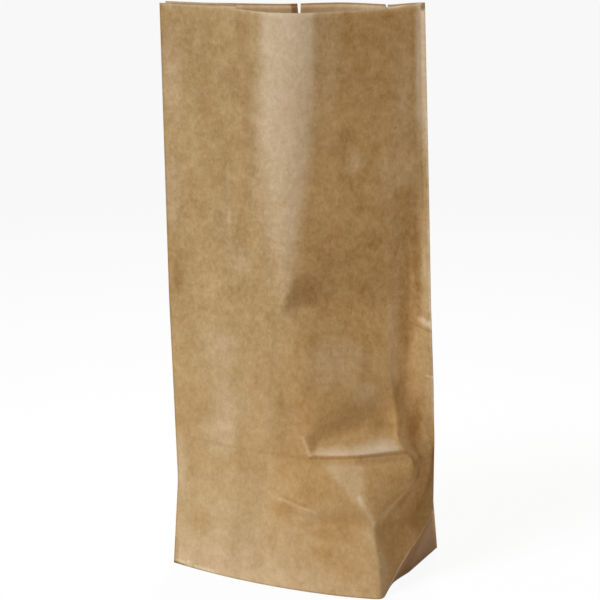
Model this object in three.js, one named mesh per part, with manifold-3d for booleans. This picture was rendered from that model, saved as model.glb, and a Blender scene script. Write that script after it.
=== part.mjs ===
// Brown kraft paper bag with a block bottom and side gussets, opened by hand and stood up.
// Millimetres, +Z up. The origin is the middle of the base, on the surface that the bag stands on.
// The front panel faces -Y, +X is to the right. One folded and glued sheet, so one solid.
import * as THREE from 'three';
import Module from 'manifold-3d';
import { mergeVertices } from 'three/addons/utils/BufferGeometryUtils.js';

// Driving dimensions
const WIDTH = 133; // front and back panels, crease to crease
const DEPTH = 83; // gussets, crease to crease, and so the block bottom
const HEIGHT = 330; // base to rim
const PAPER = 0.2; // one layer of the sheet
const SEAM_LAP = 18; // glued lap of the long seam, on the back panel
const SEAM_INSET = 26; // from the back left crease to the near edge of the lap
const FLAP_LAP = 20; // overlap of the two flaps that close the bottom
const FLAP_MARGIN = 0.6; // flap edges stay this far inside the base outline
const NOTCH_WIDTH = 4; // thumb slit in the back rim
const NOTCH_DEPTH = 13;
const NOTCH_INSET = 56; // from the back right crease to the middle of the slit
const UPPER_DIMPLE = 160; // height of the dimple under the front ridge
const LOWER_DIMPLE = 88; // height of the dimple above the flap mark

// Heights that the folding gives: the gusset folds at half the depth,
// and the folded bottom leaves its edge marked on the front at the full depth.
const FOLD = DEPTH / 2;
const MARK = DEPTH;
const BASE_LEVEL = 2 * PAPER;

const mix = (a, b, k) => a + (b - a) * k;
const clamp01 = (k) => Math.min(Math.max(k, 0), 1);
const smooth = (k) => clamp01(k) ** 2 * (3 - 2 * clamp01(k));

// Value of a list of rows [height, value, value, ...] at a height, straight between the rows.
function rowAt(rows, height) {
  const last = rows.length - 2;
  let i = 0;
  while (i < last && height > rows[i + 1][0]) i += 1;
  const k = clamp01((height - rows[i][0]) / (rows[i + 1][0] - rows[i][0]));
  return rows[i].slice(1).map((value, j) => mix(value, rows[i + 1][j + 1], k));
}

// A crease is a path up from its place on the base edge. Each row is [height, right, back, sunk]: how far the
// crease has moved at that height on the sheet, right in hundredths of the width, the others of the depth.
function crease(baseX, baseY, rows) {
  return (height) => {
    const [right, back, sunk] = rowAt(rows, height);
    const x = baseX + (right / 100) * WIDTH;
    const y = baseY + (back / 100) * DEPTH;
    return [x, y, BASE_LEVEL + height - (sunk / 100) * DEPTH];
  };
}

const SIDE = WIDTH / 2;
const END = DEPTH / 2;
const fromMark = (share) => mix(MARK, UPPER_DIMPLE, share); // heights between the flap mark and the dimple
const fromDimple = (share) => mix(UPPER_DIMPLE, HEIGHT, share); // heights between the dimple and the rim
const frontLeft = crease(-SIDE, -END, [
  [0, 0, 0, 0],
  [1.25 * FOLD, 1.9, 2.2, 0],
  [UPPER_DIMPLE, -2.6, 6.6, 0],
  [HEIGHT, -6.9, 12, 0],
]);
const frontRight = crease(SIDE, -END, [
  [0, 0, 0, 0],
  [FOLD, -5.4, 2.6, 0.3],
  [1.5 * FOLD, 6, 21, 0.8],
  [0.98 * MARK, 7, 26, 0.8],
  [fromMark(0.13), -0.4, 32, 1],
  [fromMark(0.5), -5.6, 34.2, 0.5],
  [UPPER_DIMPLE, -7.5, 41.6, 0],
  [fromDimple(0.29), -10.5, 43.4, 0],
  [HEIGHT, -13.9, 53, 0],
]);
const rightMiddle = crease(SIDE, 0, [
  [0, 0, 0, 0],
  [FOLD, 9.6, 0, 4.2],
  [MARK, 9.7, 0, 3],
  [fromMark(0.43), 8.3, 3.3, 1.2],
  [UPPER_DIMPLE, 6, 6, 0.6],
  [fromDimple(0.45), 2.6, 12, 0],
  [HEIGHT, -1.1, 16.9, -3.6],
]);
const backRight = crease(SIDE, END, [
  [0, 0, 0, 0],
  [FOLD, -2.6, -1.2, 0.6],
  [MARK, -6, -3.6, 0.6],
  [UPPER_DIMPLE, -12, -7.2, 0],
  [HEIGHT, -19.5, -18.1, 3],
]);
const backLeft = crease(-SIDE, END, [
  [0, 0, 0, 0],
  [FOLD, 2.3, -3.6, 0.6],
  [MARK, 1.9, -15.7, 1.2],
  [UPPER_DIMPLE, -1.9, -43.4, 1.2],
  [fromDimple(0.53), -4.9, -66.3, 0.6],
  [HEIGHT, -6.4, -80.7, 0],
]);
const leftMiddle = crease(-SIDE, 0, [
  [0, 0, 0, 0],
  [FOLD, 9.8, -1.2, 3],
  [MARK, 19.5, -6, 2.4],
  [UPPER_DIMPLE, 24.8, -18.1, 1.2],
  [HEIGHT, 24.1, -22.9, 0],
]);

// Bow of the front panel: rows of [height, bow in hundredths of the width, share across at its top,
// roundness]. The sheet is bent once, sharply at the upper dimple and as a round ridge at the rim.
const FRONT_BOW = [
  [0, 9.8, 0.5, 0.5],
  [FOLD, 11.3, 0.55, 0.42],
  [MARK, 14.3, 0.62, 0.32],
  [fromMark(0.35), 13.2, 0.6, 0.27],
  [fromMark(0.74), 12.7, 0.563, 0.2],
  [UPPER_DIMPLE, 11.3, 0.527, 0.03],
  [HEIGHT, 16.2, 0.57, 0.16],
];
const RIM_DIP = 3.4; // hollow to the left of the ridge, at the rim, in hundredths of the width
const RIM_DIP_AT = 0.25;

// A tent over the panel with its top rounded: the softened lesser of two slopes, zero at both edges.
function tent(u, top, roundness) {
  const soft = (k) => {
    const rise = k / top;
    const fall = (1 - k) / (1 - top);
    return (rise + fall) / 2 - Math.hypot((rise - fall) / 2, roundness);
  };
  return soft(u) - mix(soft(0), soft(1), u);
}

// A wedge pressed into the panel, opening from a pointed tip: a flat face down to a valley and another up.
// Angles are in degrees from level, turning up from the right, and slopes are depth for each millimetre.
function wedge(across, up, dent) {
  const right = across - dent.across;
  const above = up - dent.up;
  const reach = Math.hypot(right, above);
  const far = (degrees) => {
    const turn = (degrees * Math.PI) / 180;
    return Math.cos(turn) * above - Math.sin(turn) * right;
  };
  const from = dent.facesLeft ? -1 : 1;
  const upperFace = -from * far(dent.upper) * dent.upperSlope;
  const lowerFace = from * far(dent.lower) * dent.lowerSlope;
  const fade = 1 - smooth((reach - dent.reach) / dent.reach);
  return Math.max(0, Math.min(upperFace, lowerFace)) * fade;
}

const FRONT_DENTS = [
  {
    across: 0.527 * WIDTH, up: UPPER_DIMPLE, facesLeft: false, reach: 0.22 * WIDTH,
    upper: 66, upperSlope: 0.28, lower: -50, lowerSlope: 0.25,
  },
  {
    across: 0.627 * WIDTH, up: LOWER_DIMPLE, facesLeft: false, reach: 0.3 * WIDTH,
    upper: 45, upperSlope: 0.22, lower: -12, lowerSlope: 0.3,
  },
  {
    across: WIDTH, up: FOLD, facesLeft: true, reach: 0.33 * WIDTH,
    upper: 135, upperSlope: 0.12, lower: 205, lowerSlope: 0.2,
  },
];
const DENT_MARGIN = 0.1; // dents die out over this share of the panel before its right crease
const MARK_RIDGE = 1; // height of the ridge that the folded bottom left on the front
const MARK_SPREAD = 0.15 * DEPTH;

function frontShape(u, height) {
  const [bow, top, roundness] = rowAt(FRONT_BOW, height);
  const aboveDimple = clamp01((height - UPPER_DIMPLE) / (HEIGHT - UPPER_DIMPLE));
  const dip = RIM_DIP * aboveDimple * Math.max(0, 1 - Math.abs(u - RIM_DIP_AT) / RIM_DIP_AT);
  const inside = smooth((1 - u) / DENT_MARGIN);
  const dent = FRONT_DENTS.reduce((sum, one) => sum + wedge(u * WIDTH, height, one), 0);
  const fromEdges = Math.min(1, 4 * u * (1 - u));
  const ridge = MARK_RIDGE * Math.max(0, 1 - Math.abs(height - MARK) / MARK_SPREAD) * fromEdges;
  const bent = ((bow * tent(u, top, roundness) - dip) / 100) * WIDTH;
  return bent - dent * inside + ridge;
}

// Hollow line along the front half of the right gusset.
// Rows of [height, share of the half, depth in hundredths of the gusset's depth].
const GUSSET_HOLLOW = [
  [FOLD, 0.7, 0],
  [0.98 * MARK, 0.92, 0],
  [fromMark(0.2), 0.74, 3.6],
  [fromMark(0.43), 0.4, 4],
  [fromMark(0.87), 0.56, 1],
  [fromDimple(0.24), 0.74, 1.5],
  [HEIGHT, 0.84, 1.2],
];

function rightFrontShape(u, height) {
  const [at, depth] = rowAt(GUSSET_HOLLOW, height);
  return -(depth / 100) * DEPTH * Math.min(u / at, (1 - u) / (1 - at));
}

// Soft outward swell of a panel between its creases: rows of [height, swell in hundredths of the width].
function swell(rows) {
  return (u, height) => (rowAt(rows, height)[0] / 100) * WIDTH * 4 * u * (1 - u);
}

// Wave of the back rim, dying out downwards: rows of [share across from the right, out], out in hundredths
// of the width.
const RIM_WAVE = [
  [0, 0],
  [0.2, 2.6],
  [0.36, -0.8],
  [0.46, -3.8],
  [0.8, -3.8],
  [1, 0],
];
const backSwell = swell([[0, 1.5], [MARK, 4.5], [UPPER_DIMPLE, 6.8], [HEIGHT, 1.5]]);

function backShape(u, height) {
  const aboveDimple = clamp01((height - UPPER_DIMPLE) / (HEIGHT - UPPER_DIMPLE));
  return backSwell(u, height) + (rowAt(RIM_WAVE, u)[0] / 100) * WIDTH * aboveDimple;
}

// Panels in order round the bag, counted from the front left crease.
// corner tells at which end of a gusset half its base corner is, and at lists the columns of points.
const span = (count) => Array.from({ length: count }, (_, i) => i / count);
const notchAt = NOTCH_INSET / WIDTH;
const notchHalf = NOTCH_WIDTH / 2 / WIDTH;
const SEAM_EDGE = 0.4 / WIDTH; // the step at each edge of the lap
const seamFrom = 1 - (SEAM_INSET + SEAM_LAP) / WIDTH;
const seamTo = 1 - SEAM_INSET / WIDTH;
const plainBack = span(14).filter((u) => {
  const nearNotch = Math.abs(u - notchAt) < notchHalf + 0.03;
  const nearSeam = Math.min(Math.abs(u - seamFrom), Math.abs(u - seamTo)) < 0.03;
  return !nearNotch && !nearSeam;
});
const seamColumns = [seamFrom - SEAM_EDGE, seamFrom, seamTo, seamTo + SEAM_EDGE];
const notchColumns = [notchAt - notchHalf, notchAt, notchAt + notchHalf];
const backColumns = [...plainBack, ...notchColumns, ...seamColumns].sort((a, b) => a - b);

const PANELS = [
  { name: 'front', from: frontLeft, to: frontRight, shape: frontShape, at: span(20) },
  {
    name: 'right front', from: frontRight, to: rightMiddle, shape: rightFrontShape, corner: 0,
    at: [0, 0.2, 0.4, 0.56, 0.74, 0.88],
  },
  {
    name: 'right back', from: rightMiddle, to: backRight, corner: 1, at: span(5),
    shape: swell([[FOLD, 0], [MARK, 1.5], [HEIGHT, 2.3]]),
  },
  { name: 'back', from: backRight, to: backLeft, shape: backShape, at: backColumns },
  {
    name: 'left back', from: backLeft, to: leftMiddle, corner: 0, at: span(5),
    shape: swell([[FOLD, 0], [MARK, 1.5], [HEIGHT, 0]]),
  },
  {
    name: 'left front', from: leftMiddle, to: frontLeft, corner: 1, at: span(5),
    shape: swell([[FOLD, 0], [MARK, 1.5], [HEIGHT, 0]]),
  },
];

// A point of the sheet: straight between the two creases at that height, moved out by the panel's shape.
// Below the fold a gusset half is two flat triangles that meet on the slanting crease from the base corner.
function sheetPoint(panel, u, height) {
  const a = panel.from(height);
  const b = panel.to(height);
  const along = [b[0] - a[0], b[1] - a[1]];
  const length = Math.hypot(...along);
  const out = panel.shape(u, height);
  const point = a.map((value, i) => mix(value, b[i], u));
  point[0] += (along[1] / length) * out;
  point[1] -= (along[0] / length) * out;
  if (panel.corner !== undefined && height < FOLD) {
    const near = panel.corner === 0 ? panel.from : panel.to;
    const far = panel.corner === 0 ? panel.to : panel.from;
    const v = panel.corner === 0 ? u : 1 - u;
    const rise = height / FOLD;
    const lift = Math.min(v * (1 - rise), rise * (1 - v));
    const [cornerLow, cornerHigh, middleLow, middleHigh] = [near(0), near(FOLD), far(0), far(FOLD)];
    point.forEach((value, i) => {
      point[i] += (middleHigh[i] - middleLow[i] - cornerHigh[i] + cornerLow[i]) * lift;
    });
  }
  return point;
}

// Columns round the bag and levels up it
const columns = PANELS.flatMap((panel) => panel.at.map((u) => ({ panel, u })));
const between = (low, high, count) => span(count).map((k) => mix(low, high, k));
const levels = [
  ...between(0, FOLD, 4),
  ...between(FOLD, MARK, 4),
  ...between(MARK, UPPER_DIMPLE, 9),
  ...between(UPPER_DIMPLE, HEIGHT, 8),
  HEIGHT,
];

// The thumb slit lowers the rim at its column, and the levels below it close up to make room.
function sheetHeight(column, level) {
  const slit = column.panel.name === 'back' && column.u === notchAt;
  const roomFrom = HEIGHT - 2.5 * NOTCH_DEPTH;
  return slit ? level - NOTCH_DEPTH * clamp01((level - roomFrom) / (HEIGHT - roomFrom)) : level;
}

const sheet = levels.map((level) => columns.map(
  (column) => new THREE.Vector3(...sheetPoint(column.panel, column.u, sheetHeight(column, level))),
));

// Outward direction of the sheet at a point, from its neighbours
function outward(row, col) {
  const count = columns.length;
  const next = sheet[row][(col + 1) % count];
  const previous = sheet[row][(col + count - 1) % count];
  const above = sheet[Math.min(row + 1, levels.length - 1)][col];
  const below = sheet[Math.max(row - 1, 0)][col];
  const along = next.clone().sub(previous);
  return along.cross(above.clone().sub(below)).normalize();
}

// The lap of the long seam is two layers thick.
function layersOutside(column) {
  const inLap = column.panel.name === 'back' && column.u >= seamFrom && column.u <= seamTo;
  return inLap ? 1.5 : 0.5;
}

// The wall and floor as one closed skin: outside up to the rim, over the edge, and down the inside.
function cupGeometry() {
  const positions = [];
  const triangles = [];
  const count = columns.length;
  const push = (point) => {
    positions.push(point.x, point.y, point.z);
    return positions.length / 3 - 1;
  };
  const ring = (row, layers, level) => columns.map((column, col) => {
    const point = sheet[row][col].clone().addScaledVector(outward(row, col), layers(column) * PAPER);
    if (level !== undefined) point.z = level;
    return push(point);
  });
  const inside = () => -0.5;
  const outsideRings = levels.map((_, row) => ring(row, layersOutside, row === 0 ? BASE_LEVEL : undefined));
  const insideRings = levels.map((_, row) => ring(row, inside, row === 0 ? BASE_LEVEL + PAPER : undefined));
  const rising = (lower, upper, col, next) => {
    triangles.push(lower[col], lower[next], upper[next], lower[col], upper[next], upper[col]);
  };
  // The inside splits each patch along the same line as the outside, so the two skins keep their distance.
  const falling = (lower, upper, col, next) => {
    triangles.push(lower[col], lower[next], upper[col], lower[next], upper[next], upper[col]);
  };
  const skins = [...outsideRings, ...insideRings.reverse()];
  skins.slice(1).forEach((upper, i) => {
    const split = i < levels.length ? rising : falling;
    columns.forEach((_, col) => split(skins[i], upper, col, (col + 1) % count));
  });
  const under = push(new THREE.Vector3(0, 0, BASE_LEVEL));
  const floor = push(new THREE.Vector3(0, 0, BASE_LEVEL + PAPER));
  for (let col = 0; col < count; col += 1) {
    const next = (col + 1) % count;
    triangles.push(under, skins[0][next], skins[0][col]);
    triangles.push(floor, skins.at(-1)[col], skins.at(-1)[next]);
  }
  const geometry = new THREE.BufferGeometry();
  geometry.setAttribute('position', new THREE.Float32BufferAttribute(positions, 3));
  geometry.setIndex(triangles);
  return geometry;
}

// A bottom flap: full width at its folded edge, cut at 45 degrees to the middle, with an optional tongue.
// Its lower face is at the given level, and it is glued up into the floor.
function flapGeometry(side, tongue, level) {
  const edge = SIDE - FLAP_MARGIN;
  const end = side * (END - FLAP_MARGIN);
  const tip = Math.max(edge - END + FLAP_MARGIN, FLAP_MARGIN);
  const corners = [[-edge, end], [edge, end], [tip, 0]];
  if (tongue > 0) corners.push([tip, -side * tongue], [-tip, -side * tongue]);
  corners.push([-tip, 0]);
  const outline = new THREE.Shape(corners.map(([x, y]) => new THREE.Vector2(x, y)));
  const glued = BASE_LEVEL + PAPER / 2 - level;
  const geometry = new THREE.ExtrudeGeometry(outline, { depth: glued, bevelEnabled: false });
  geometry.translate(0, 0, level);
  return geometry;
}

const wasm = await Module();
wasm.setup();

function solid(geometry) {
  geometry.deleteAttribute('normal');
  geometry.deleteAttribute('uv');
  const merged = mergeVertices(geometry, 1e-4);
  return new wasm.Manifold(new wasm.Mesh({
    numProp: 3,
    vertProperties: new Float32Array(merged.attributes.position.array),
    triVerts: new Uint32Array(merged.index.array),
  }));
}

const innerFlap = flapGeometry(1, 0, PAPER);
const outerFlap = flapGeometry(-1, FLAP_LAP / 2, 0);
const folded = solid(cupGeometry()).add(solid(innerFlap)).add(solid(outerFlap)).getMesh();

const bagGeometry = new THREE.BufferGeometry();
bagGeometry.setAttribute('position', new THREE.Float32BufferAttribute(folded.vertProperties, 3));
bagGeometry.setIndex([...folded.triVerts]);
bagGeometry.computeVertexNormals();

const kraft = new THREE.MeshStandardMaterial({ color: 0xae8d62, roughness: 0.6, metalness: 0 });
const bag = new THREE.Mesh(bagGeometry, kraft);
bag.name = 'bag';

const paperBag = new THREE.Group();
paperBag.add(bag);

export default paperBag;
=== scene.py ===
import bpy
import numpy as np
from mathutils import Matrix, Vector


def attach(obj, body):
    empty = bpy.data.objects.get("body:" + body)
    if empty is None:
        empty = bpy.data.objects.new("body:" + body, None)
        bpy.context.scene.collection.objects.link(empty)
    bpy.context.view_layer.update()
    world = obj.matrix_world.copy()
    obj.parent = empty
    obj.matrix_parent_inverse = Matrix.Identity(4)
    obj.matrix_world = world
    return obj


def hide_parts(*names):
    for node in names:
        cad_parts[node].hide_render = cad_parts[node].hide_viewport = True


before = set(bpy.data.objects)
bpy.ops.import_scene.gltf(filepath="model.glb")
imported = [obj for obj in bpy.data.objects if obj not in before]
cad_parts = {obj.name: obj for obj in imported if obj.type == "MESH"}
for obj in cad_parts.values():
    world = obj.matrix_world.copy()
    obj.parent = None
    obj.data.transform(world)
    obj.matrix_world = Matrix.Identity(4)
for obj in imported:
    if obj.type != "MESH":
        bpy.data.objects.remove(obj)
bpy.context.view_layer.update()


# Bag
# One sheet of brown kraft paper, folded into a tube with two gussets, lapped and glued up the back,
# and closed by two glued bottom flaps. It was opened by hand, so the folds and dents of handling are
# still in it: the right gusset is popped out, the left one still folded in. Sizes are in millimetres.
WIDTH = 133.0
DEPTH = 83.0
HEIGHT = 330.0
PAPER = 0.2
FOLD = DEPTH / 2  # the gussets fold here
MARK = DEPTH  # the folded bottom has left its edge marked here
UPPER_DIMPLE = 160.0
LOWER_DIMPLE = 88.0
FACET_FOOT = 79.5  # the facet of the lower dent rises from here
BASE_LEVEL = 2 * PAPER


def rows_at(rows, at, ease=3.0):
    """Values of a list of rows [place, value, ...] at each place: straight between the rows, then averaged
    over a short reach each way, because paper turns softly. The reach shrinks to nothing at both ends."""
    table = np.array(rows, dtype=float)
    at = np.asarray(at, dtype=float)
    reach = np.minimum(ease, np.minimum(at - table[0, 0], table[-1, 0] - at))
    spread = at[..., None] + reach[..., None] * np.linspace(-1, 1, 5)
    return [np.interp(spread, table[:, 0], column).mean(axis=-1) for column in table[:, 1:].T]


def smooth(k):
    """Eased step: 0 below 0, 1 above 1, and k squared times (3 - 2k) between."""
    k = np.clip(k, 0, 1)
    return k * k * (3 - 2 * k)


def crease(base_x, base_y, rows):
    """A fold line up the sheet from its place on the base edge. Each row gives, at a height on the sheet,
    how far the line has moved right, back and down there."""
    def at(height):
        right, back, sunk = rows_at(rows, height)
        return np.stack([base_x + right, base_y + back, BASE_LEVEL + height - sunk], axis=-1)
    return at


front_left = crease(-WIDTH / 2, -DEPTH / 2, [
    [0, 0, 0, 0],
    [1.25 * FOLD, 2.5, 1.8, 0],
    [UPPER_DIMPLE, -3.5, 5.5, 0],
    [HEIGHT, -9.2, 10, 0],
])
FRONT_RIGHT_FOOT = [
    [0, 2, -4.5, 0],
    [22, -2.8, -1.2, 0],
    [FOLD, -8.2, 1.8, 0],
]
FRONT_RIGHT_TOP = [
    [109, -6, 27.5, 0.6],
    [122, -7.5, 28.6, 0.4],
    [140, -9, 32, 0],
    [UPPER_DIMPLE, -10, 34.5, 0],
    [210, -14, 36, 0],
    [HEIGHT, -18.5, 44, 0],
]
front_right = crease(WIDTH / 2, -DEPTH / 2, [
    *FRONT_RIGHT_FOOT,
    [50, -1.5, 9.5, 0.2],
    [56, 4.5, 16, 0.4],
    [64, 10.5, 21.5, 0.7],
    [FACET_FOOT, 13, 22.5, 0.7],
    [FACET_FOOT + 3, -4, 23, 1],
    [93, -4, 28.5, 0.9],
    *FRONT_RIGHT_TOP,
])
# Where the front right crease would run if the corner above the fold were not pulled out to the side
front_plain = crease(WIDTH / 2, -DEPTH / 2, [
    *FRONT_RIGHT_FOOT,
    [70, -0.5, 7.5, 0],
    [81, 0.5, 12, 0.3],
    [93, -3.5, 28.5, 0.9],
    *FRONT_RIGHT_TOP,
])
right_middle = crease(WIDTH / 2, 0, [
    [0, -1.2, 0, 0],
    [FOLD, 12.8, 0, 3.5],
    [MARK, 12.9, 0, 2.5],
    [116, 11, 2.7, 1],
    [UPPER_DIMPLE, 8, 5, 0.5],
    [237, 3.5, 10, 0],
    [HEIGHT, -1.5, 14, -3],
])
back_right = crease(WIDTH / 2, DEPTH / 2, [
    [0, 0, 0, 0],
    [FOLD, -3.5, -1, 0.5],
    [MARK, -8, -3, 0.5],
    [UPPER_DIMPLE, -16, -6, 0],
    [HEIGHT, -26, -15, 2.5],
])
back_left = crease(-WIDTH / 2, DEPTH / 2, [
    [0, 0, 0, 0],
    [FOLD, 3, -3, 0.5],
    [MARK, 2.5, -13, 1],
    [UPPER_DIMPLE, -2.5, -36, 1],
    [250, -6.5, -55, 0.5],
    [HEIGHT, -8.5, -67, 0],
])
left_middle = crease(-WIDTH / 2, 0, [
    [0, 0, 0, 0],
    [FOLD, 13, -1, 2.5],
    [MARK, 26, -5, 2],
    [UPPER_DIMPLE, 33, -15, 1],
    [HEIGHT, 32, -19, 0],
])

# Rows of [height, bow, share across at its bend, half the width of the bend]
FRONT_BOW = [
    [0, 14.5, 0.5, 60],
    [FOLD, 14.8, 0.55, 45],
    [80, 14.6, 0.56, 45],
    [92, 20, 0.61, 28],
    [110, 18.6, 0.6, 24],
    [140, 16.8, 0.563, 20],
    [150, 15.6, 0.552, 12],
    [UPPER_DIMPLE, 15, 0.54, 1.5],
    [HEIGHT, 20.8, 0.573, 16],
]


def bent(share, bow, at, half):
    """A sheet bent once between its two creases: a straight rise to the bend and a straight fall from it,
    with a parabola over half a width each side of the bend. The parabola lies below the peak by the change
    of slope, times the square of how far a point is inside the bend, over four half-widths."""
    sharp = bow * np.minimum(share / at, (1 - share) / (1 - at))
    turn = bow / (at * WIDTH) + bow / ((1 - at) * WIDTH)
    within = np.maximum(half - np.abs(share - at) * WIDTH, 0)
    return sharp - turn * within ** 2 / (4 * half)


UPPER_TIP = (0.527 * WIDTH, UPPER_DIMPLE)
UPPER_REACH = 26.0
UPPER_CURL = 24.0  # degrees
CURL_FROM = 12.0
CURL_OVER = 36.0
# Rows of [degrees up from the level, depth as a share of the distance from the tip]
UPPER_DENT = [[-180, 0], [-50, 0], [14, 0.55], [66, 0.01], [70, 0], [180, 0]]


def upper_dent(across, up):
    """The dent pressed in from the foot of the front's ridge. It spreads from a pointed tip as bent paper
    does: at each angle up from the level its depth is a share, from the rows, of the distance from the tip,
    which levels off towards the reach. Away from the tip its folds curl down by some degrees."""
    right = across - UPPER_TIP[0]
    above = up - UPPER_TIP[1]
    far = np.hypot(right, above)
    angle = np.degrees(np.arctan2(above, right)) + UPPER_CURL * smooth((far - CURL_FROM) / CURL_OVER)
    share = rows_at(UPPER_DENT, np.minimum(angle, 180), ease=4.0)[0]
    return share * far * UPPER_REACH / (far + UPPER_REACH)


LOWER_TIP = (0.627 * WIDTH, LOWER_DIMPLE)
FACET_SLOPE = 0.75
# The valley rises, opens and gets a wider brow with each millimetre to the right of the tip
VALLEY = 84.5
VALLEY_RISE = 0.19
VALLEY_ROUND = 0.2
VALLEY_OPENS = 0.11
BROW = 12.0
BROW_WIDENS = 0.65
BROW_POWER = 2.2
# Slopes of the two steep sides by the tip, right and up
LOW_SIDE = (1.2 * 0.89, 1.2 * 0.45)
HIGH_SIDE = (1.2 * 0.87, -1.2 * 0.5)
# Rows of [height, out]
CORNER_BULGE = [[0, 0], [FOLD, 0], [51, 3.4], [80, 0], [HEIGHT, 0]]
BULGE_FROM = 62.0
BULGE_OVER = 36.0


def lower_dents(across, up):
    """The dents about the flap mark. A hollow above it is the least of three depths: a flat facet that
    deepens from the mark to a valley, with a brow that curves back out above it, and two steep sides that
    meet at the tip. Below the mark the sheet bulges out above the fold line by the corner."""
    right = across - LOWER_TIP[0]
    above = up - LOWER_TIP[1]
    beyond = np.maximum(right, 0)
    valley = VALLEY + VALLEY_RISE * beyond
    facet = FACET_SLOPE * (up - FACET_FOOT)
    rise = np.maximum(1 - (up - valley) / (BROW + BROW_WIDENS * beyond), 0)
    brow = FACET_SLOPE * (valley - FACET_FOOT) * rise ** BROW_POWER
    rounded = (facet + brow - np.hypot(facet - brow, VALLEY_ROUND + VALLEY_OPENS * beyond)) / 2
    low_side = LOW_SIDE[0] * right + LOW_SIDE[1] * above
    high_side = HIGH_SIDE[0] * right + HIGH_SIDE[1] * above
    hollow = np.maximum(np.minimum(rounded, np.minimum(low_side, high_side)), 0)
    bulge = rows_at(CORNER_BULGE, up)[0] * smooth((across - BULGE_FROM) / BULGE_OVER)
    return hollow - bulge


def ridge(across, up, start, end, height, half):
    """A straight pinched fold between two points: a rounded ridge whose section is a squared cosine of the
    distance from the line."""
    along = np.subtract(end, start)
    share = np.clip(((across - start[0]) * along[0] + (up - start[1]) * along[1]) / (along @ along), 0, 1)
    off = np.hypot(across - start[0] - share * along[0], up - start[1] - share * along[1])
    return height * np.cos(np.pi / 2 * np.minimum(off / half, 1)) ** 2


RIM_DIP = 3.5
RIM_DIP_AT = 0.25
MARK_LIFT = 0.35
MARK_HALF = 3.0
# The mark fades in over a share of the width, and all the low folds and dents fade out at the right crease
MARK_FADE = 0.1
CREASE_FADE = 0.04
# Rows of [share across, height of the flap mark]
MARK_LINE = [
    [0, 79],
    [0.17, 79.3],
    [0.42, 80.6],
    [0.57, 77],
    [0.65, 78],
    [0.85, 80.6],
    [1, 82.5],
]
# Rows of [from, to, height, half of the width]
PINCHES = [
    [(79.8, 89.7), (85.8, 78), 0.6, 2.5],
    [(72.5, 53.3), (96.7, 48.1), 0.5, 3],
]


def front_out(share, height):
    """How far the front panel stands out of the plane between its creases: the bent sheet, less a dip below
    the rim and the pressed dents, plus the flap mark and the pinched folds."""
    bow, at, half = rows_at(FRONT_BOW, height)
    above_dimple = np.clip((height - UPPER_DIMPLE) / (HEIGHT - UPPER_DIMPLE), 0, 1)
    dip = RIM_DIP * above_dimple * smooth(1 - np.abs(share - RIM_DIP_AT) / RIM_DIP_AT)
    across = share * WIDTH
    mark = height - rows_at(MARK_LINE, share * np.ones_like(height), ease=0.04)[0]
    folds = MARK_LIFT * smooth(share / MARK_FADE) * np.maximum(0, 1 - np.abs(mark) / MARK_HALF)
    for start, end, pinch, pinch_half in PINCHES:
        folds = folds + ridge(across, height, start, end, pinch, pinch_half)
    low = (folds - lower_dents(across, height)) * smooth((1 - share) / CREASE_FADE)
    return bent(share, bow, at, half) - dip - upper_dent(across, height) + low


# Rows of [height, share of the half, depth]
GUSSET_HOLLOW = [
    [0, 0.7, 0],
    [FOLD, 0.7, 0],
    [82, 0.97, 0],
    [92, 0.84, 2.6],
    [101, 0.62, 3.3],
    [110, 0.38, 3.2],
    [117, 0.25, 1.5],
    [133, 0.7, 0.6],
    [UPPER_DIMPLE, 0.83, 0.6],
    [210, 0.88, 1.3],
    [HEIGHT, 0.9, 1],
]
GUSSET_SPAN = 25.0  # how far the upper dent goes on over the crease
GUSSET_FADE = 0.5  # the last share of the half, where it fades out
# Rows of [height, in]
GUSSET_FOOT = [[0, 2], [14, 1], [28, 0], [HEIGHT, 0]]


def right_front_out(share, height):
    """The front half of the right gusset: two flat slopes down to a hollow line, a shallow parabola at its
    foot, and the front's upper dent where it runs on over the crease."""
    at, depth = rows_at(GUSSET_HOLLOW, height)
    hollow = depth * np.minimum(share / at, (1 - share) / (1 - at))
    hollow = hollow + rows_at(GUSSET_FOOT, height)[0] * 4 * share * (1 - share)
    return -hollow - upper_dent(WIDTH + GUSSET_SPAN * share, height) * smooth((1 - share) / GUSSET_FADE)


def swell(rows):
    """A soft outward bow between two creases, a parabola whose height follows the rows."""
    return lambda share, height: rows_at(rows, height)[0] * 4 * share * (1 - share)


# Rows of [share across from the right, out]
RIM_WAVE = [
    [0, 0],
    [0.2, 3.5],
    [0.36, -1],
    [0.46, -5],
    [0.8, -5],
    [1, 0],
]
back_swell = swell([[0, 2], [MARK, 6], [UPPER_DIMPLE, 9], [HEIGHT, 2]])
gusset_swell = swell([[0, 0], [FOLD, 0], [MARK, 2], [HEIGHT, 3]])
folded_swell = swell([[0, 0], [FOLD, 0], [MARK, 2], [HEIGHT, 0]])


def back_out(share, height):
    """The back panel: a soft bow, with a wave that grows towards the rim."""
    above_dimple = np.clip((height - UPPER_DIMPLE) / (HEIGHT - UPPER_DIMPLE), 0, 1)
    wave = rows_at(RIM_WAVE, share * np.ones_like(height), ease=0.06)[0]
    return back_swell(share, height) + wave * above_dimple


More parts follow.
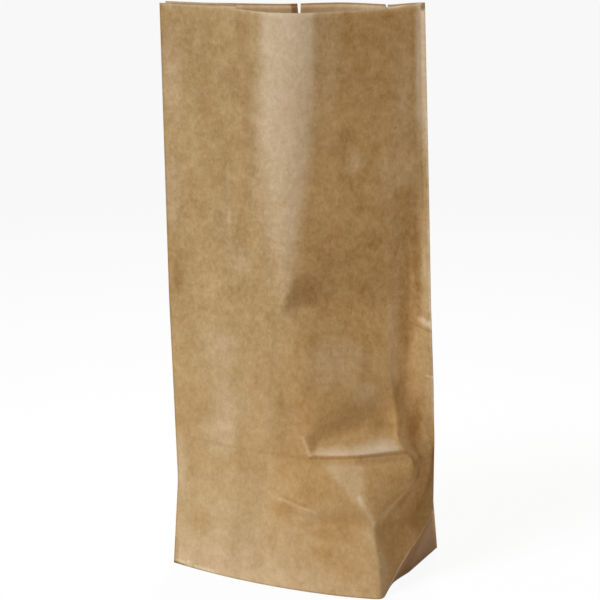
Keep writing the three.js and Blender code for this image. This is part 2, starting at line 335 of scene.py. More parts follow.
def panel(start, end, share, height, out, corner=None, slant_from=0.0):
    """A sheet ruled between two fold lines and moved out along the level normal of the line between them.
    Below the fold a gusset half turns out about its base edge up to a slant, which runs from a share of the
    edge to the end of the fold: the straight sheet, plus what its middle line has moved more than its
    corner line, times the rise as far as the slant and in proportion to the share before it."""
    low = start(height)
    along = end(height) - low
    level = np.hypot(along[..., 0], along[..., 1])
    normal = np.stack([along[..., 1] / level, -along[..., 0] / level, 0 * level], axis=-1)
    points = low + along * share[..., None] + normal * out(share, height)[..., None]
    if corner is not None:
        near, far = (start, end) if corner == "start" else (end, start)
        from_corner = share if corner == "start" else 1 - share
        rise = np.clip(height / FOLD, 0, 1)
        slant = np.maximum(slant_from + (1 - slant_from) * rise, 1e-6)
        lift = rise * (np.minimum(1, from_corner / slant) - from_corner)
        ends = np.array([0.0, FOLD])
        moved = (far(ends)[1] - far(ends)[0]) - (near(ends)[1] - near(ends)[0])
        points = points + lift[..., None] * moved
    return points


# The grid that carries the sheet: levels up it, closer where it is crumpled, and columns round it
NOTCH_WIDTH = 2.0
NOTCH_DEPTH = 13.0
NOTCH_INSET = 54.6  # from the back right crease to the middle of the slit
NOTCH_FOOT = 0.6  # the foot of the slit is past its middle by this share of half its width
NICK_WIDTH = 1.6
NICK_DEPTH = 2.4
NICK_INSET = 3.0  # from the same crease
SEAM_LAP = 18.0
SEAM_INSET = 26.0  # from the back left crease to the lap
SEAM_STEP = 0.4
CRUMPLED_TO = 130.0
DENTED_TO = 190.0
levels = np.concatenate([
    np.linspace(0, CRUMPLED_TO, 100, endpoint=False),
    np.linspace(CRUMPLED_TO, DENTED_TO, 38, endpoint=False),
    np.linspace(DENTED_TO, HEIGHT, 43),
])[:, None]


def shares(count, extra=()):
    """Evenly spread shares of a panel from its first crease, with close ones by both creases."""
    near = 0.5 / WIDTH
    every = np.concatenate([np.linspace(0, 1, count, endpoint=False), [near, 1 - near], extra])
    return np.unique(np.round(every, 5))[None, :]


seam_from = 1 - (SEAM_INSET + SEAM_LAP) / WIDTH
seam_to = 1 - SEAM_INSET / WIDTH
seam_step = SEAM_STEP / WIDTH
seam = [seam_from - seam_step, seam_from, seam_to, seam_to + seam_step]
notch_half = NOTCH_WIDTH / 2 / WIDTH
notch_at = NOTCH_INSET / WIDTH
notch = [notch_at - notch_half, notch_at + NOTCH_FOOT * notch_half, notch_at + notch_half]
nick = [(NICK_INSET + side * NICK_WIDTH / 2) / WIDTH for side in (-1, 0, 1)]
front_share = shares(110)
right_front_share = shares(34)
half_share = shares(14)
back_share = shares(40, seam + notch + nick)
front_columns = slice(0, front_share.size)
right_front_columns = slice(front_columns.stop, front_columns.stop + right_front_share.size)
back_start = right_front_columns.stop + half_share.size
back_columns = slice(back_start, back_start + back_share.size)

# The thumb slit and a small nick lower the back rim, and the levels below them close up to make room
ROOM = 2.5 * NOTCH_DEPTH
room = np.clip((levels - HEIGHT + ROOM) / ROOM, 0, 1)
slit = np.interp(back_share, nick + notch, [0, NICK_DEPTH, 0, 0, NOTCH_DEPTH, 0])

# The front is made with its right crease unpulled, then pulled out to the side over the last of its width.
# Rows of [height, share across where the pull starts]
PULLED_FROM = [[FOLD, 0.985], [MARK, 0.86]]
SLANT_FROM = 0.35  # the share of the gusset's base edge where its slant starts
pulled_from = np.interp(levels, *np.transpose(PULLED_FROM))
pulled = np.clip((front_share - pulled_from) / (1 - pulled_from), 0, 1)[..., None]
front = panel(front_left, front_plain, front_share, levels + 0 * front_share, front_out)
front = front + pulled * (front_right(levels) - front_plain(levels))
right_front_level = levels + 0 * right_front_share
half_level = levels + 0 * half_share
sheet = np.concatenate([
    front,
    panel(front_right, right_middle, right_front_share, right_front_level, right_front_out,
          "start", SLANT_FROM),
    panel(right_middle, back_right, half_share, half_level, gusset_swell, "end"),
    panel(back_right, back_left, back_share, levels - slit * room, back_out),
    panel(back_left, left_middle, half_share, half_level, folded_swell, "start"),
    panel(left_middle, front_left, half_share, half_level, folded_swell, "end"),
], axis=1)


def softened(grid, softness, passes):
    """The sheet with its folds eased: each pass moves every point part of the way, by its softness, to the
    mean of its neighbours round the bag and then of those above and below."""
    for _ in range(passes):
        beside = (np.roll(grid, 1, axis=1) + np.roll(grid, -1, axis=1)) / 2
        grid = grid + 0.5 * softness * (beside - grid)
        level = grid.copy()
        level[1:-1] = (grid[2:] + grid[:-2]) / 2
        grid = grid + 0.5 * softness * (level - grid)
    return grid


# The front right crease is eased, and flattened out above the dents, from a share of the front to a share
# of the gusset. The rest of the front is only a little eased.
FLATTENED_FROM = 0.78
FRONT_EASE = 0.15  # the flattening sets in over this share of the front
GUSSET_EASE = 0.3  # and dies out over this share of the gusset
FLATTENING_PASSES = 60
EASING_PASSES = 2
# Rows of [height, softness]
FLATTENED = [
    [0, 0.8],
    [15, 0.6],
    [30, 0.35],
    [FOLD, 0.3],
    [84, 0.3],
    [96, 0.6],
    [112, 0.6],
    [130, 1],
    [HEIGHT, 1],
]
# Rows of [height, share of the gusset]
FLATTENED_TO = [[0, 0.45], [80, 0.45], [90, 0.95], [122, 0.95], [140, 0.45], [HEIGHT, 0.45]]
flattened = rows_at(FLATTENED, levels)[0]
flattened_to = rows_at(FLATTENED_TO, levels)[0]
softness = np.zeros(sheet.shape[:2] + (1,))
softness[:, front_columns, 0] = smooth((front_share - FLATTENED_FROM) / FRONT_EASE) * flattened
softness[:, right_front_columns, 0] = (
    smooth((flattened_to - right_front_share) / GUSSET_EASE) * flattened)
sheet = softened(sheet, softness, FLATTENING_PASSES)
eased = np.zeros_like(softness)
eased[2:-2, 3:front_columns.stop - 3] = 1.0
sheet = softened(sheet, eased, EASING_PASSES)

# The sheet gets its thickness: half a layer each way along its normal, and a second layer over the seam lap
across_step = np.roll(sheet, -1, axis=1) - np.roll(sheet, 1, axis=1)
normal = np.cross(across_step, np.gradient(sheet, axis=0))
normal /= np.linalg.norm(normal, axis=2, keepdims=True)
in_lap = np.zeros(sheet.shape[1])
in_lap[back_columns] = (back_share[0] >= seam_from) & (back_share[0] <= seam_to)
outside = sheet + normal * PAPER * (0.5 + in_lap)[None, :, None]
inside = sheet - normal * PAPER * 0.5
outside[0, :, 2] = BASE_LEVEL
inside[0, :, 2] = BASE_LEVEL + PAPER


def closed_skin(rings, low_centre, high_centre):
    """Vertices and faces of a tube of rings closed at both ends by a fan to a centre point."""
    count = rings.shape[1]
    here = np.arange(rings.shape[0] * count).reshape(rings.shape[:2])
    there = np.roll(here, -1, axis=1)
    walls = np.stack([here[:-1], there[:-1], there[1:], here[1:]], axis=-1).reshape(-1, 4)
    low = np.full(count, here.size)
    high = np.full(count, here.size + 1)
    fans = np.concatenate([
        np.stack([low, there[0], here[0]], axis=-1),
        np.stack([high, here[-1], there[-1]], axis=-1),
    ])
    points = np.concatenate([rings.reshape(-1, 3), [low_centre, high_centre]])
    return points, walls.tolist() + fans.tolist()


FLAP_LAP = 20.0
FLAP_INSET = 0.985  # the flaps lie this share of the way out to the base edge


def flap(hinge, turn, first, low):
    """A bottom flap as a flat prism: from its hinge along the base edge it narrows at 45 degrees to the
    middle of the base, and goes on as a tongue for half the lap. Its faces count on from the first
    point."""
    tip = (WIDTH - DEPTH) / 2
    tongue = FLAP_LAP / 2
    ends = turn * np.array([[tip, 0], [tip, tongue], [-tip, tongue], [-tip, 0]])
    outline = np.concatenate([FLAP_INSET * hinge, ends])
    count = len(outline)
    here = first + np.arange(count)
    there = np.roll(here, -1)
    sides = np.stack([here, there, there + count, here + count], axis=-1).tolist()
    prism = np.concatenate([np.insert(outline, 2, level, axis=1) for level in (low, BASE_LEVEL)])
    return prism, sides + [here[::-1].tolist(), (here + count).tolist()]


points, faces = closed_skin(
    np.concatenate([outside, inside[::-1]]), [0, 0, BASE_LEVEL], [0, 0, BASE_LEVEL + PAPER])
skin_count = len(points)
outer_flap, outer_faces = flap(sheet[0, front_columns, :2], 1, skin_count, 0.0)
inner_flap, inner_faces = flap(sheet[0, back_columns, :2], -1, skin_count + len(outer_flap), PAPER)
points = np.concatenate([points, outer_flap, inner_flap])
bag_mesh = bpy.data.meshes.new("bag_sheet")
bag_mesh.from_pydata(points * 0.001, [], faces + outer_faces + inner_faces)
bag_mesh.polygons.foreach_set("use_smooth", np.ones(len(bag_mesh.polygons), dtype=bool))
bag = bpy.data.objects.new("bag_sheet", bag_mesh)
bpy.context.scene.collection.objects.link(bag)

# Every point keeps its place on the flat sheet, across from the front left crease and up from the base, and
# how much paler it is painted there, by wear and painted light, or darker, partly painted shade, below zero
MIDDLE = WIDTH + FOLD  # the right middle crease
BACK_FROM = MIDDLE + FOLD
BACK_TO = BACK_FROM + WIDTH
flat_across = np.concatenate([
    front_share[0] * WIDTH,
    WIDTH + right_front_share[0] * FOLD,
    MIDDLE + half_share[0] * FOLD,
    BACK_FROM + back_share[0] * WIDTH,
    BACK_TO + half_share[0] * FOLD,
    BACK_TO + FOLD + half_share[0] * FOLD,
])[None, :]
# Rows of [height, across, softness]
BAND_LEFT = [[UPPER_DIMPLE, 70, 16], [217, 60, 16], [275, 59, 16], [300, 61.5, 12], [HEIGHT, 62, 6]]
BAND_RIGHT = [
    [UPPER_DIMPLE, 70, 3],
    [177, 76, 5],
    [193, 80.5, 6],
    [223, 84, 10],
    [255, 88.5, 14],
    [285, 91, 9],
    [HEIGHT, 92, 5],
]
# Rows of [height, how pale]: the band is a painted sheen highlight, the strip a painted highlight with
# painted shade below zero, and the base painted light thrown up from the floor
BAND_SHEEN = [[UPPER_DIMPLE, 0], [170, 0.3], [190, 0.45], [217, 0.58], [245, 0.75], [HEIGHT, 0.95]]
STRIP_LIGHT_AND_SHADE = [
    [0, 0],
    [80, -0.7],
    [100, -0.2],
    [125, -0.15],
    [150, 0],
    [170, 0.2],
    [190, 0.25],
    [205, 0],
    [232, -0.3],
    [252, 0.2],
    [270, 0.7],
    [HEIGHT, 1],
]
BASE_FLOOR_LIGHT = [[0, 0.5], [17, 0.31], [29, 0.22], [FOLD, 0.15], [70, 0], [HEIGHT, 0]]
FLANK_PALE = [[0, 0], [118, 0], [128, 0.2], [160, 0.3], [180, 0.1], [205, 0.05], [235, 0.15], [HEIGHT, 0]]
# The left side of the strip grows softer towards the rim
STRIP_TO = MIDDLE + 2
STRIP_TO_SOFT = 4.0
STRIP_SOFT = 3.0
STRIP_SOFTER = 6.0
STRIP_SOFTER_FROM = 235.0
STRIP_SOFTER_OVER = 20.0
FLANK_FROM = WIDTH - 8
FLANK_TO = 148.0
FLANK_SOFT = 9.0
# The base is half as pale towards its right corner
BASE_TO = 141.0
BASE_SOFT = 9.0
BASE_HALF_FROM = 85.0
BASE_HALF_OVER = 30.0
# The facet below the flap mark has a painted sheen highlight; both its sides lean to the left as it rises
FACET_SHEEN = 0.38
FACET_TOP = 77.0
FACET_LEFT = WIDTH - 1
FACET_RIGHT = 117.0
FACET_LEAN_LEFT = 1.2
FACET_LEAN_RIGHT = 0.34
FACET_SOFT = 4.0
FACET_TOP_SOFT = 3.0
# Painted light on the facet above the flap mark, up to the valley
LIT_PALE = 0.65
LIT_FROM = 85.0
LIT_FOOT = 79.0
LIT_RISE = 0.08
LIT_SOFT_UP = (1.6, 5.0)
LIT_SOFT_ACROSS = (4.0, 6.0)
# Painted shade on the foot of the gusset below its slant
FOOT_SHADE = -0.8
FOOT_SOFT = 0.06
# Rows of [across, up, half across, half up, how pale], each panel from its foot to its rim. On the front
# and the right gusset they are partly tone of the paper and partly painted light and shade; on the back and
# left, wear
FRONT_SMUDGES_AND_SHADING = [
    [112, 16, 16, 12, -0.15],
    [99, 24, 10, 8, -0.3],
    [19, 30, 12, 12, -0.3],
    [102, 35, 9, 7, -0.3],
    [115, 36, 8, 8, -0.3],
    [130, 36, 6, 14, 0.3],
    [112, 43, 18, 6, -0.3],
    [95, 47, 9, 7, 0.15],
    [77, 47, 14, 8, -0.35],
    [88, 58, 13, 10, -0.4],
    [2, 62, 10, 30, 0.35],
    [74, 79, 9, 12, -0.35],
    [120, 82, 14, 6, 0.3],
    [29, 84, 17, 20, 0.32],
    [66, 88, 14, 12, -0.4],
    [123, 89, 8, 6, 0.35],
    [124, 92, 14, 8, -0.4],
    [35, 104, 16, 26, 0.35],
    [70, 104, 8, 14, -0.3],
    [117, 111, 12, 12, 0.35],
    [100, 129, 30, 20, 0.3],
    [33, 135, 20, 20, 0.28],
    [124, 168, 20, 16, -0.35],
    [88, 173, 16, 14, -0.25],
    [5, 175, 8, 26, -0.5],
    [128, 180, 8, 10, -0.4],
    [45, 187, 12, 14, 0.25],
    [100, 188, 10, 12, -0.35],
    [13, 189, 8, 14, -0.35],
    [96, 199, 10, 14, -0.4],
    [122, 200, 9, 10, -0.35],
    [37, 205, 14, 18, 0.12],
    [4, 222, 8, 40, 0.3],
    [114, 244, 10, 10, 0.4],
    [107, 256, 10, 12, -0.4],
    [132, 280, 16, 40, -0.2],
    [5, 290, 9, 40, 0.35],
    [42, 291, 10, 14, -0.4],
    [100, 308, 9, 40, 0.35],
]
RIGHT_SMUDGES_AND_SHADING = [
    [137, 14, 9, 26, 0.5],
    [158, 44, 9, 8, -0.3],
    [136, 47, 6, 14, 0.4],
    [146, 53, 9, 8, -0.45],
    [149, 67, 9, 9, -0.5],
    [166, 82, 8, 9, -0.4],
    [157, 90, 14, 16, -0.9],
    [160, 102, 9, 16, -0.4],
    [171, 113, 6, 16, 0.35],
    [137, 121, 9, 10, 0.5],
    [151, 138, 8, 14, -0.4],
    [157, 146, 6, 14, -0.5],
    [162, 163, 8, 22, -0.6],
    [162, 196, 8, 34, -0.8],
    [158, 222, 10, 8, -0.4],
    [150, 238, 24, 14, 0.35],
    [151, 277, 18, 40, 0.35],
    [166, 290, 7, 50, 0.55],
]
BACK_SMUDGES = [
    [244, 50, 30, 24, 0.3],
    [300, 70, 40, 20, -0.2],
    [322, 150, 24, 60, -0.25],
    [262, 215, 22, 70, 0.3],
    [340, 290, 16, 40, 0.3],
]
LEFT_SMUDGES = [[382, 60, 18, 40, 0.25]]
SMUDGES_AND_SHADING = FRONT_SMUDGES_AND_SHADING + RIGHT_SMUDGES_AND_SHADING + BACK_SMUDGES + LEFT_SMUDGES


def window(at, low, high, low_soft, high_soft):
    """1 between a low and a high side, eased to 0 at each of them over its softness."""
    return smooth((at - low) / low_soft) * smooth((high - at) / high_soft)


def wear_and_painted_light(across, up):
    """How much paler the outside is painted, as a sum: the band along the front ridge, a painted sheen
    highlight with a soft left and a crisp right side; the strip of the gusset beside its middle crease,
    painted highlight above zero and painted shade below; the flank on both sides of the front right crease;
    the base, painted light thrown up from the floor; the facet below the flap mark, a painted sheen;
    painted light on the facet above it; painted shade on the foot of the gusset below its slant; and the
    smudges, which fade by an eased step from their middles. Much of it is painted shading, for light and
    shade the folds and lamps do not give."""
    above = np.maximum(up, UPPER_DIMPLE)
    left, left_soft = rows_at(BAND_LEFT, above)
    right, right_soft = rows_at(BAND_RIGHT, above)
    band = window(across, left - left_soft / 2, right + right_soft / 2, left_soft, right_soft)
    band = band * rows_at(BAND_SHEEN, above)[0] * (up > UPPER_DIMPLE)
    soft = STRIP_SOFT + STRIP_SOFTER * smooth((up - STRIP_SOFTER_FROM) / STRIP_SOFTER_OVER)
    strip_from = WIDTH + FOLD * rows_at(GUSSET_HOLLOW, up)[0]
    strip = window(across, strip_from - soft, STRIP_TO, soft, STRIP_TO_SOFT) * rows_at(STRIP_LIGHT_AND_SHADE, up)[0]
    flank = window(across, FLANK_FROM, FLANK_TO, FLANK_SOFT, FLANK_SOFT) * rows_at(FLANK_PALE, up)[0]
    base = smooth((BASE_TO - across) / BASE_SOFT)
    base = base * (1 - 0.5 * smooth((across - BASE_HALF_FROM) / BASE_HALF_OVER)) * rows_at(BASE_FLOOR_LIGHT, up)[0]
    facet_left = FACET_LEFT - FACET_LEAN_LEFT * (up - FOLD)
    facet_right = FACET_RIGHT + FACET_LEAN_RIGHT * (FACET_TOP - up)
    facet = window(across, facet_left, facet_right, FACET_SOFT, FACET_SOFT)
    facet = FACET_SHEEN * facet * smooth((FACET_TOP - up) / FACET_TOP_SOFT) * (up > FOLD)
    lit_to = VALLEY + LIT_RISE * (across - LOWER_TIP[0])
    lit = window(up, LIT_FOOT, lit_to, *LIT_SOFT_UP) * window(across, LIT_FROM, WIDTH, *LIT_SOFT_ACROSS)
    front_slant = (across - WIDTH - SLANT_FROM * FOLD) / ((1 - SLANT_FROM) * FOLD)
    back_slant = (BACK_FROM - across) / FOLD
    foot = FOOT_SHADE * smooth((np.minimum(front_slant, back_slant) - up / FOLD) / FOOT_SOFT)
    marked = band + strip + flank + base + facet + LIT_PALE * lit + foot
    for at_across, at_up, half_across, half_up, amount in SMUDGES_AND_SHADING:
        away = np.hypot((across - at_across) / half_across, (up - at_up) / half_up)
        marked = marked + amount * smooth(1 - away)
    return marked


# The inside is painted paler towards the rim, as painted light inside the mouth
INSIDE_PALE_FROM = 285.0
INSIDE_PALE_OVER = 40.0
flat_up = levels + 0 * flat_across
pale = wear_and_painted_light(flat_across + 0 * levels, flat_up)
unmarked = len(points) - 2 * pale.size
flat = np.stack([flat_across + 0 * levels, flat_up, 1 + 0 * flat_up], axis=-1)
inner = flat[::-1] * [1, 1, 0]
flat = np.concatenate([flat.reshape(-1, 3), inner.reshape(-1, 3), np.zeros((unmarked, 3))])
inner_painted_light = smooth((flat_up[::-1] - INSIDE_PALE_FROM) / INSIDE_PALE_OVER)
pale = np.concatenate([pale.ravel(), inner_painted_light.ravel(), np.zeros(unmarked)])
bag_mesh.attributes.new("flat", "FLOAT_VECTOR", "POINT").data.foreach_set("vector", flat.ravel())
bag_mesh.attributes.new("pale", "FLOAT", "POINT").data.foreach_set("value", pale)


class Wire:
    """A shader socket that can be used in sums, and the one way to add a node to its tree."""

    def __init__(self, tree, socket=None):
        self.tree = tree
        self.socket = socket

    def node(self, kind, inputs=None, output=0, **settings):
        """Adds a node: its settings first, then the values or links of its sockets."""
        made = self.tree.nodes.new(kind)
        for name, value in settings.items():
            setattr(made, name, value)
        for name, value in (inputs or {}).items():
            if isinstance(value, Wire):
                self.tree.links.new(value.socket, made.inputs[name])
            else:
                made.inputs[name].default_value = value
        return Wire(self.tree, made.outputs[output] if made.outputs else None)

    def math(self, operation, first, second):
        """A value worked out from two others."""
        return self.node("ShaderNodeMath", {0: first, 1: second}, operation=operation)

    def mix(self, share, first, second):
        """A colour that goes from the first to the second by the share."""
        return self.node("ShaderNodeMix", {0: share, 6: first, 7: second}, output=2, data_type="RGBA")

    def __add__(self, other):
        return self.math("ADD", self, other)

    def __sub__(self, other):
        return self.math("SUBTRACT", self, other)

    def __rsub__(self, other):
        return self.math("SUBTRACT", other, self)

    def __mul__(self, other):
        return self.math("MULTIPLY", self, other)

    __radd__ = __add__
    __rmul__ = __mul__


# Kraft; the pale of wear and painted highlight; the deep brown of painted shade; the inside's painted light
KRAFT = (0.44, 0.286, 0.123, 1.0)
PALE_WEAR_AND_HIGHLIGHT = (0.64, 0.495, 0.31, 1.0)
SHADED = (0.25, 0.127, 0.037, 1.0)
INSIDE_PAINTED_LIGHT = (0.7, 0.53, 0.31, 1.0)
kraft_paper = bpy.data.materials.new("kraft_paper")
kraft_paper.use_nodes = True
kraft_paper.node_tree.nodes.clear()
paper = Wire(kraft_paper.node_tree)
place = paper.node("ShaderNodeTexCoord", output="Object")
flat_place = paper.node("ShaderNodeAttribute", output="Vector", attribute_name="flat")
across = paper.node("ShaderNodeSeparateXYZ", {0: flat_place}, output="X")
up = paper.node("ShaderNodeSeparateXYZ", {0: flat_place}, output="Y")
outer = paper.node("ShaderNodeSeparateXYZ", {0: flat_place}, output="Z")
wear_and_light_paint = paper.node("ShaderNodeAttribute", output="Fac", attribute_name="pale")


def fall(value, low, high):
    """1 where a value is at its low mark, eased down to 0 at its high mark."""
    return paper.node("ShaderNodeMapRange", {0: value, 1: low, 2: high, 3: 1.0, 4: 0.0},
                      interpolation_type="SMOOTHSTEP")


def clamped(value):
    """A value held between 0 and 1."""
    return paper.node("ShaderNodeClamp", {0: value})


def noise(scale, detail, roughness, stretch):
    """Noise about zero, its grain drawn out along the height of the bag by the stretch."""
    drawn = paper.node("ShaderNodeVectorMath", {
        0: place, 1: (1.0, 1.0, 1.0 / stretch)}, operation="MULTIPLY")
    grain = paper.node("ShaderNodeTexNoise", {
        "Vector": drawn, "Scale": scale, "Detail": detail, "Roughness": roughness})
    return grain - 0.5


# The mottle of the pulp, fibres and clouds together, is weaker where the paper is painted pale, by wear and
# painted light, and near the base
PALE_SMOOTHER = 0.45
BASE_SMOOTHER = 0.25
pulp = (
    0.8 * noise(380.0, 4.0, 0.8, 1.2)
    + 0.45 * noise(130.0, 2.0, 0.5, 1.2)
    + 0.25 * noise(32.0, 2.0, 0.5, 1.5)
    + 0.2 * noise(900.0, 2.0, 0.6, 3.0)
    + 0.25 * noise(70.0, 2.0, 0.5, 7.0)
) * (1.0 - PALE_SMOOTHER * wear_and_light_paint) * (1.0 - BASE_SMOOTHER * fall(up, 90.0, 170.0))

# Lines along folds, edges and the seam, as rows of [strength, half of the width, from, to]: the light ones
# partly fibres worn pale at the folds and partly painted highlights, the dark ones painted shade in the
# folds, along the edges and beside the seam lap
lap_from = BACK_FROM + seam_from * WIDTH
lap_to = BACK_FROM + seam_to * WIDTH
LIGHT_LINES = [
    [0.35, 1.2, (80.5, 89), (86, 79)],
    [0.15, 1.2, (86, 80), (WIDTH, 82.3)],
    [0.2, 1.2, (72.5, 53.3), (96.7, 48.1)],
    [0.12, 1.6, (38.7, 240), (39.9, 200)],
    [0.3, 0.9, (85.8, 287), (85.8, 297)],
    [0.5, 1.6, (147.5, 1), (MIDDLE, FOLD)],
    [0.3, 1.5, (131.8, 41.6), (119, 58)],
    [0.6, 2.6, (MIDDLE, 96), (MIDDLE, HEIGHT)],
    [1.0, 1.8, (10.6, 2.6), (11.4, 1.2)],
    [0.5, 1.3, (15, 1.6), (28, 1.2)],
    [0.35, 1.2, (1, 2.4), (8, 2)],
    [0.5, 1.6, (169.6, 322), (172.1, 277)],
    [0.7, 2.6, (163.5, 153), (173.5, 151)],
    [0.4, 1.2, (168, 121), (174, 121)],
    [0.3, 1.2, (BACK_FROM + 1, MARK + 0.8), (BACK_TO - 1, MARK + 0.8)],
    [0.3, 1.0, (lap_from + 1.3, 2), (lap_from + 1.3, HEIGHT - 3)],
]
DARK_LINES = [
    [0.45, 1.2, (86, 78.3), (WIDTH, 80.4)],
    [0.14, 1.5, (10, 78.8), (86, 78)],
    [0.25, 3.5, (114, 77.5), (131, 79.5)],
    [0.2, 4.0, (117.3, 122), (117.3, 138)],
    [0.2, 6.0, (51, HEIGHT), (54, 240)],
    [0.2, 1.2, (72.5, 55.3), (90, 51.5)],
    [0.35, 1.2, (162, 148.5), (174, 147)],
    [0.8, 1.0, (140.3, 263.3), (140.4, 263.6)],
    [0.8, 1.0, (139.1, 188.4), (139.2, 188.7)],
    [0.9, 3.0, (172, 328), (175, 329)],
    [0.7, 1.6, (141, 0), (174, 0)],
    [0.5, 1.2, (0.5, 0.6), (7, 0.4)],
    [0.3, 1.4, (0, 1), (0, HEIGHT - 1)],
    [0.35, 3.0, (1, 0), (1, 14)],
    [0.35, 1.2, (BACK_FROM + 1, MARK - 0.8), (BACK_TO - 1, MARK - 0.8)],
    [0.5, 0.9, (lap_from - 0.2, 2), (lap_from - 0.2, HEIGHT - 3)],
    [0.15, 0.9, (lap_to + 0.3, 2), (lap_to + 0.3, HEIGHT - 3)],
]
# Painted shade on the inside beside the slit
SLIT_SHADE_AT = BACK_FROM + 57.5
SLIT_SHADE = [[0.8, 2.6, (SLIT_SHADE_AT, HEIGHT - 11), (SLIT_SHADE_AT, HEIGHT)]]


def line_marks(rows):
    """The sum of marks along straight lines on the flat sheet, each with its strength on the line and
    nothing at half its width away. The share along a line is held between its ends."""
    total = 0.0 * across
    for strength, half, start, end in rows:
        run = end[0] - start[0]
        rise = end[1] - start[1]
        length = run * run + rise * rise
        right = across - start[0]
        above = up - start[1]
        share = clamped(right * (run / length) + above * (rise / length))
        off_x = right - share * run
        off_y = above - share * rise
        total = total + strength * fall(off_x * off_x + off_y * off_y, 0.0, half * half)
    return total


# The colour goes from kraft to pale where the paper is worn or has painted highlights, and to a deep brown
# where painted shade falls in the folds. The cut rim is pale outside and has painted shade inside, and the
# side right of the ridge is painted a little browner, as shade on the side turned from the key.
RIM_PALE = 0.35
RIM_DARK = 0.7
RIDGE_LEAN = 0.14
SHADE_TINT = (0.0, -0.06, -0.15)
PULP_TINT = (1.0, 1.25, 1.8)
rim = 1.0 - fall(up, HEIGHT - 1.6, HEIGHT - 0.4)
paleness = clamped(wear_and_light_paint + outer * (line_marks(LIGHT_LINES) + RIM_PALE * rim))
darkened = wear_and_light_paint * fall(wear_and_light_paint, -0.01, 0.0)
darkness = clamped(
    outer * line_marks(DARK_LINES) + (1.0 - outer) * (RIM_DARK * rim + line_marks(SLIT_SHADE)) - darkened)
toned = paper.mix(darkness, paper.mix(paleness, KRAFT, paper.mix(outer, INSIDE_PAINTED_LIGHT, PALE_WEAR_AND_HIGHLIGHT)), SHADED)
# Painted shade: the side right of the ridge is tinted browner where it is not painted pale
shaded_side = fall(across - RIDGE_LEAN * up, 66.0, 46.0) * fall(across, 160.0, 170.0)
shade_tint = paper.node("ShaderNodeVectorMath", {
    0: shaded_side * (1.0 - paleness), 1: SHADE_TINT, 2: (1.0, 1.0, 1.0),
}, operation="MULTIPLY_ADD")
gain = paper.node("ShaderNodeVectorMath", {0: pulp, 1: PULP_TINT, 2: shade_tint}, operation="MULTIPLY_ADD")
colour = paper.node("ShaderNodeVectorMath", {0: toned, 1: gain}, operation="MULTIPLY")
fuzz = paper.node("ShaderNodeBump", {
    "Height": noise(700.0, 3.0, 0.6, 2.0), "Strength": 0.25, "Distance": 0.0003}, output="Normal")
shader = paper.node("ShaderNodeBsdfPrincipled", {
    "Base Color": colour,
    "Roughness": 0.55 + 0.3 * pulp - 0.1 * paleness,
    "Specular IOR Level": 0.05,
    "Normal": fuzz,
})
paper.node("ShaderNodeOutputMaterial", {"Surface": shader})
bag_mesh.materials.append(kraft_paper)
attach(bag, "root")
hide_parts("bag")


# Floor
# A wide white studio table that the bag stands on. It looks white to the camera and keeps a faint shadow,
# and only the part near the bag throws light back at it. Sizes here and below are in metres.
FLOOR_HALF = 4.0
WHITE = (1.0, 1.0, 1.0, 1.0)
BOUNCE_FROM = 0.3
BOUNCE_TO = 0.8
NEAR_GREY = 0.92
FAR_GREY = 0.1
SEEN_WHITE = 0.93  # the share of white light in what the camera sees of the floor
floor_mesh = bpy.data.meshes.new("floor")
corners = np.array([[-1, -1, 0], [1, -1, 0], [1, 1, 0], [-1, 1, 0]]) * FLOOR_HALF
floor_mesh.from_pydata(corners, [], [(0, 1, 2, 3)])
floor = bpy.data.objects.new("floor", floor_mesh)
bpy.context.scene.collection.objects.link(floor)
floor_white = bpy.data.materials.new("floor_white")
floor_white.use_nodes = True
floor_white.node_tree.nodes.clear()
table = Wire(floor_white.node_tree)
spot = table.node("ShaderNodeTexCoord", output="Object")
from_bag = table.node("ShaderNodeVectorMath", {0: spot}, output="Value", operation="LENGTH")
shade = table.node("ShaderNodeMapRange", {
    0: from_bag, 1: BOUNCE_FROM, 2: BOUNCE_TO, 3: NEAR_GREY, 4: FAR_GREY})
grey = table.node("ShaderNodeCombineColor", {0: shade, 1: shade, 2: shade})
matt = table.node("ShaderNodeBsdfDiffuse", {"Color": grey})
lit = table.node("ShaderNodeEmission", {"Color": WHITE, "Strength": 1.0})


def seen_directly(wire):
    """1 for rays from the camera, and for those that it sees in gloss or through glass."""
    return (
        wire.node("ShaderNodeLightPath", output="Is Camera Ray")
        + wire.node("ShaderNodeLightPath", output="Is Glossy Ray")
        + wire.node("ShaderNodeLightPath", output="Is Transmission Ray")
    )


table.node("ShaderNodeOutputMaterial", {
    "Surface": table.node("ShaderNodeMixShader", {0: seen_directly(table) * SEEN_WHITE, 1: matt, 2: lit}),
})
floor_mesh.materials.append(floor_white)


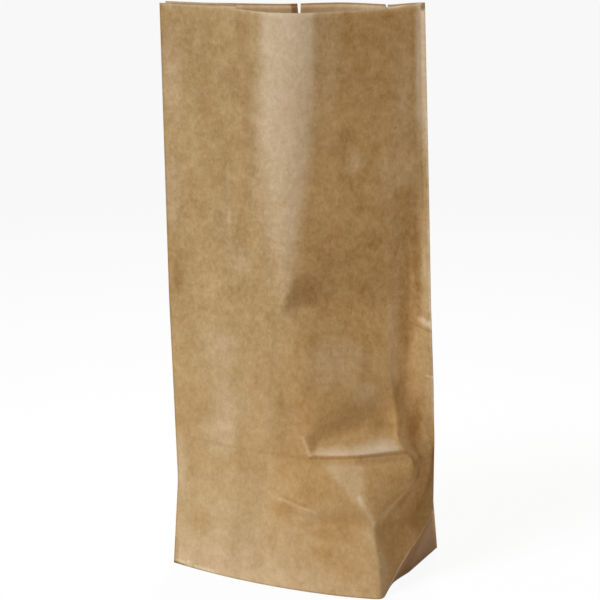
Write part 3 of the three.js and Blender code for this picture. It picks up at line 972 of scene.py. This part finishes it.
# Studio light
# A dim warm surround that looks white, a broad soft key high on the left, a small warm fill on the right,
# a low lamp for the foot of the front, and a broad soft lamp behind.
AMBIENT = 0.075
WARM = (1.0, 0.88, 0.7, 1.0)
world = bpy.data.worlds.new("studio")
bpy.context.scene.world = world
world.use_nodes = True
world.node_tree.nodes.clear()
studio = Wire(world.node_tree)
shown = seen_directly(studio)
studio.node("ShaderNodeOutputWorld", {
    "Surface": studio.node("ShaderNodeBackground", {
        "Color": studio.mix(shown, WARM, WHITE),
        "Strength": AMBIENT + (1 - AMBIENT) * shown,
    }),
})


def soft_lamp(name, place, aim, size, power, colour=(1.0, 1.0, 1.0)):
    """A rectangular lamp at a place, turned to a point."""
    light = bpy.data.lights.new(name, "AREA")
    light.shape = "RECTANGLE"
    light.size, light.size_y = size
    light.energy = power
    light.color = colour
    lamp = bpy.data.objects.new(name, light)
    lamp.location = place
    lamp.rotation_euler = (Vector(aim) - Vector(place)).to_track_quat("-Z", "Y").to_euler()
    bpy.context.scene.collection.objects.link(lamp)


soft_lamp("key", (-1.25, -2.35, 3.2), (0, 0, 0.1), (1.2, 1.2), 128.0, (0.935, 1.01, 1.18))
soft_lamp("fill", (1.5, -1.3, 0.7), (0, 0, 0.15), (0.6, 0.6), 5.2, (1.0, 0.58, 0.22))
soft_lamp("low", (-0.45, -0.8, 0.06), (0, 0, 0.05), (0.4, 0.08), 1.5)
soft_lamp("back", (-0.6, 2.6, 2.0), (0, 0, 0.15), (1.2, 1.2), 70.0, (1.0, 0.94, 0.84))


# Camera
# A long lens a little above the bag and to its right, as the photograph was taken.
IMAGE_WIDTH = 600
FOCAL_PIXELS = 3000
CAMERA_PLACE = (0.64848, -1.51204, 0.66367)
CAMERA_AIM = (-0.00406, 0, 0.15698)
camera = bpy.data.cameras.new("camera")
camera.sensor_width = 36.0
camera.lens = camera.sensor_width * FOCAL_PIXELS / IMAGE_WIDTH
camera_object = bpy.data.objects.new("camera", camera)
camera_object.location = CAMERA_PLACE
looking = Vector(CAMERA_AIM) - Vector(CAMERA_PLACE)
camera_object.rotation_euler = looking.to_track_quat("-Z", "Y").to_euler()
bpy.context.scene.collection.objects.link(camera_object)
bpy.context.scene.camera = camera_object
bpy.context.scene.view_settings.view_transform = "Standard"
